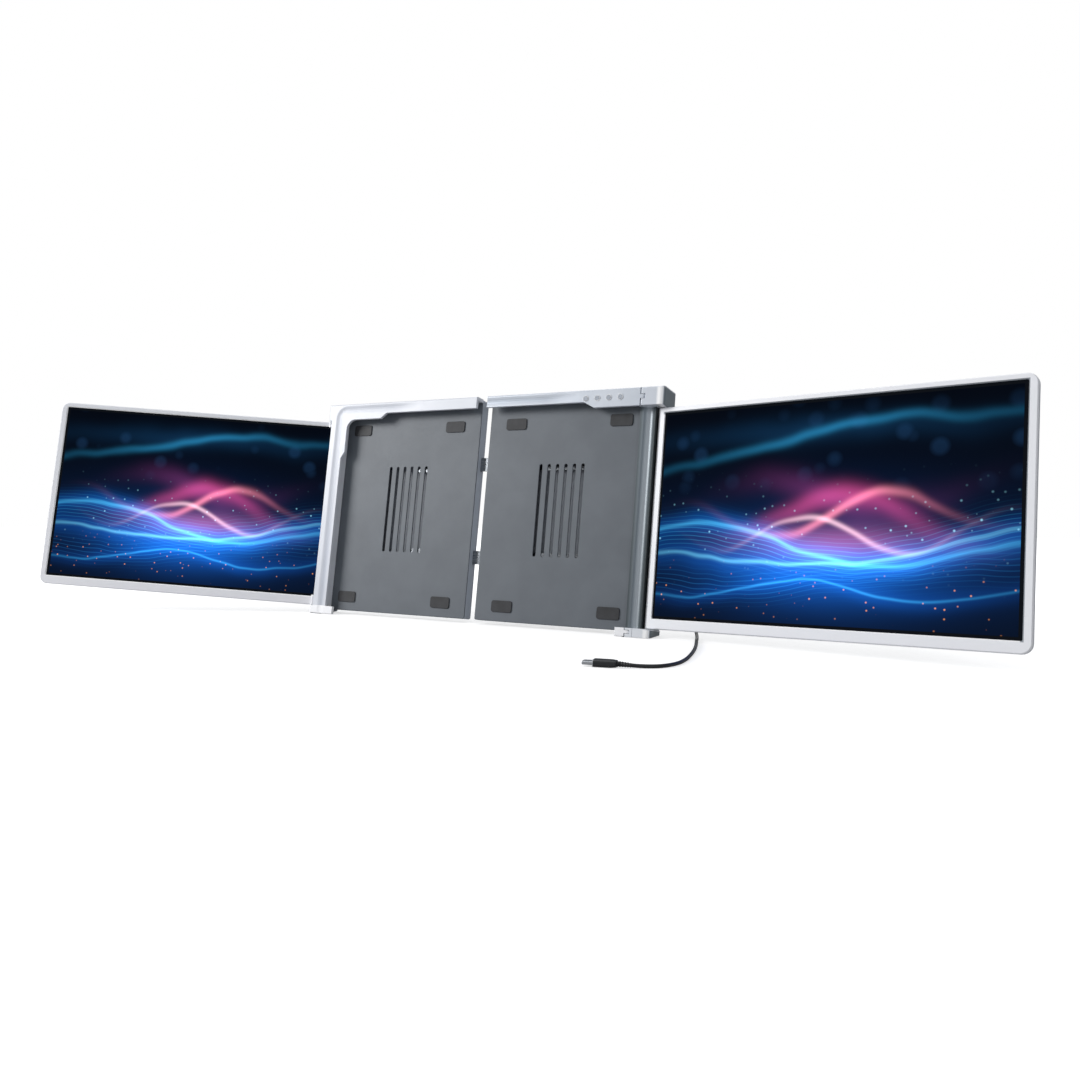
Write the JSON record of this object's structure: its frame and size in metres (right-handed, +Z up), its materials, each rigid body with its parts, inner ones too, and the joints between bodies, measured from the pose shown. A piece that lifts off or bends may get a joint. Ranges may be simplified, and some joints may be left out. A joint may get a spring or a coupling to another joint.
{
  "type": "laptop screen extender",
  "caption": "Clip-on laptop screen extender: a sliding two-part frame hooks over the lid and carries a hinged display on each side, with a fold-out stand and a short lead.",
  "frame": {"origin": "middle of the box round the part without its cord, on the surface it stands on", "axes": "+X to the viewer's right along the frame, +Y to the back, +Z up; the frame leans back 8.67 degrees"},
  "size_m": [0.8503, 0.2267, 0.2017],
  "materials": {
    "white_plastic": "satin, off-white",
    "silver_plastic": "satin silver paint",
    "grey_metal": "fine matt grey",
    "back_plate": "grey painted sheet steel",
    "rubber": "matt black",
    "guide_plastic": "black acetal",
    "circuit_board": "green solder mask",
    "ring_metal": "polished ring",
    "screw_steel": "zinc",
    "connector_metal": "plated",
    "hinge_steel": "ground steel",
    "screen_glass": "satin dark glass over a lit picture",
    "diffuser": "white diffuser sheet",
    "column_metal": "anodised grey",
    "button_plastic": "grey cap",
    "cord_black": "black jacket"
  },
  "bodies": {
    "right_frame": {"right_front": "silver_plastic", "right_housing": "grey_metal", "right_inner_panel": "back_plate", "right_lid_pads": "rubber", "right_foot_pad": "rubber", "rail_guides": "guide_plastic", "control_board": "circuit_board", "button_rings": "ring_metal", "right_housing_screws": "screw_steel", "hub_case": "grey_metal", "hub_board": "circuit_board", "usb_port": "connector_metal", "stand_bracket": "hinge_steel", "stand_pin": "hinge_steel", "cord_plug": "cord_black", "cord": "cord_black", "cord_end_plug": "cord_black"},
    "left_frame": {"left_front": "white_plastic", "left_housing": "grey_metal", "left_inner_panel": "back_plate", "left_lid_pads": "rubber", "left_foot_pad": "rubber", "steel_rails": "hinge_steel", "rail_screws": "screw_steel", "left_housing_screws": "screw_steel", "left_hinge_pins": "hinge_steel"},
    "left_screen": {"left_bezel": "white_plastic", "left_display": "screen_glass", "left_backlight": "diffuser", "left_driver_board": "circuit_board", "left_back_cover": "grey_metal", "left_cover_screws": "screw_steel"},
    "spine": {"spine_cap": "column_metal", "spine_column": "column_metal", "spine_foot": "silver_plastic", "spine_guard": "column_metal", "spine_screws": "screw_steel", "spine_pins": "hinge_steel", "barrel_pins": "hinge_steel"},
    "right_screen": {"hinge_barrel": "column_metal", "right_bezel": "silver_plastic", "right_display": "screen_glass", "right_backlight": "diffuser", "right_driver_board": "circuit_board", "right_back_cover": "grey_metal", "right_cover_screws": "screw_steel"},
    "stand": {"stand_leg": "column_metal", "stand_foot": "rubber"},
    "first_button": {"button_1": "button_plastic"},
    "second_button": {"button_2": "button_plastic"},
    "third_button": {"button_3": "button_plastic"},
    "fourth_button": {"button_4": "button_plastic"}
  },
  "joints": [
    {"name": "frame_slide", "type": "slide", "parent": "right_frame", "child": "left_frame", "axis": [-1, 0, 0], "range_m": [-0.008, 0.06]},
    {"name": "left_screen_hinge", "type": "hinge", "parent": "left_frame", "child": "left_screen", "pos_m": [-0.18363, 0.03148, 0.09592], "axis": [0, 0.1507, 0.9886], "range_deg": [-27.1, 152.9]},
    {"name": "spine_hinge", "type": "hinge", "parent": "right_frame", "child": "spine", "pos_m": [0.14197, 0.03148, 0.09592], "axis": [0, -0.1507, -0.9886], "range_deg": [0, 90]},
    {"name": "right_screen_hinge", "type": "hinge", "parent": "spine", "child": "right_screen", "pos_m": [0.15667, 0.04255, 0.09423], "axis": [0, -0.1507, -0.9886], "range_deg": [-9.2, 80.8]},
    {"name": "stand_hinge", "type": "hinge", "parent": "right_frame", "child": "stand", "pos_m": [0.04467, 0.05953, 0.12199], "axis": [1, 0, 0], "range_deg": [-25.79, 35]},
    {"name": "first_button_press", "type": "slide", "parent": "right_frame", "child": "first_button", "axis": [0, 0.9886, -0.1507], "range_m": [0, 0.0005], "stiffness_N_per_m": 1200},
    {"name": "second_button_press", "type": "slide", "parent": "right_frame", "child": "second_button", "axis": [0, 0.9886, -0.1507], "range_m": [0, 0.0005], "stiffness_N_per_m": 1200},
    {"name": "third_button_press", "type": "slide", "parent": "right_frame", "child": "third_button", "axis": [0, 0.9886, -0.1507], "range_m": [0, 0.0005], "stiffness_N_per_m": 1200},
    {"name": "fourth_button_press", "type": "slide", "parent": "right_frame", "child": "fourth_button", "axis": [0, 0.9886, -0.1507], "range_m": [0, 0.0005], "stiffness_N_per_m": 1200}
  ]
}
